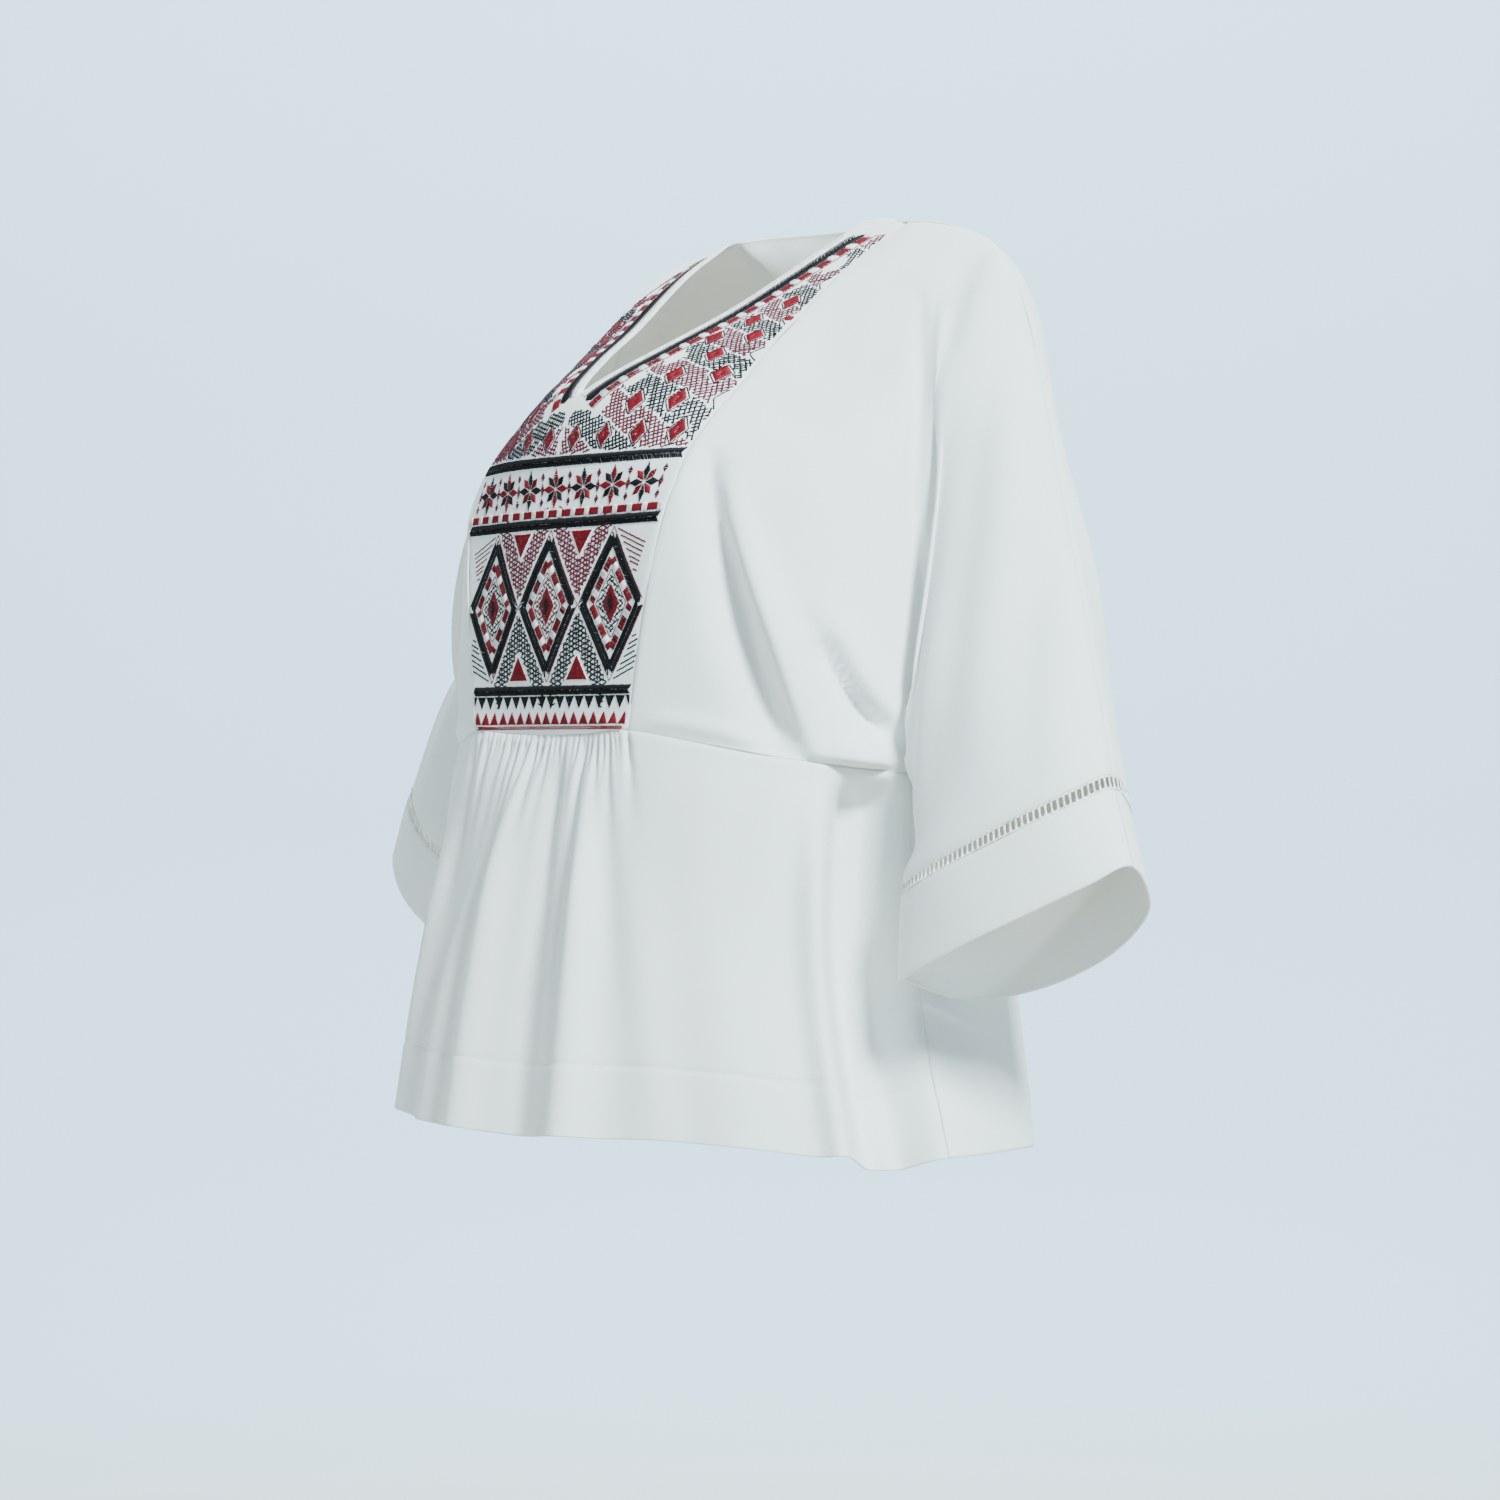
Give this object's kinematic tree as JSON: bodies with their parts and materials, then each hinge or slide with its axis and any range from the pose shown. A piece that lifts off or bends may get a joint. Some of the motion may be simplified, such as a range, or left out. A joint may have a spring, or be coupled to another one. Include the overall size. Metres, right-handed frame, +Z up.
{
  "type": "embroidered v-neck top",
  "caption": "Loose white cotton top with a v neck, an embroidered front panel, a gathered lower front, and wide cut-in-one sleeves with openwork above the cuffs.",
  "frame": {"origin": "middle of the shoulder line, between the two shoulder points of the neck, where the wearer carries the top", "axes": "+X to the wearer's left, -Y out of the front panel, +Z up along the standing wearer"},
  "size_m": [0.719, 0.3233, 0.5724],
  "materials": {
    "bib": "matte",
    "front_left": "matte",
    "front_right": "matte",
    "back": "matte",
    "skirt_front": "matte",
    "ladder_front_left": "matte",
    "ladder_back_left": "matte",
    "ladder_front_right": "matte",
    "ladder_back_right": "matte",
    "cuff_left": "matte",
    "cuff_right": "matte"
  },
  "bodies": {
    "root": {"bib": "bib", "front_left": "front_left", "front_right": "front_right", "back": "back", "skirt_front": "skirt_front", "ladder_front_left": "ladder_front_left", "ladder_back_left": "ladder_back_left", "ladder_front_right": "ladder_front_right", "ladder_back_right": "ladder_back_right", "cuff_left": "cuff_left", "cuff_right": "cuff_right"}
  },
  "joints": []
}
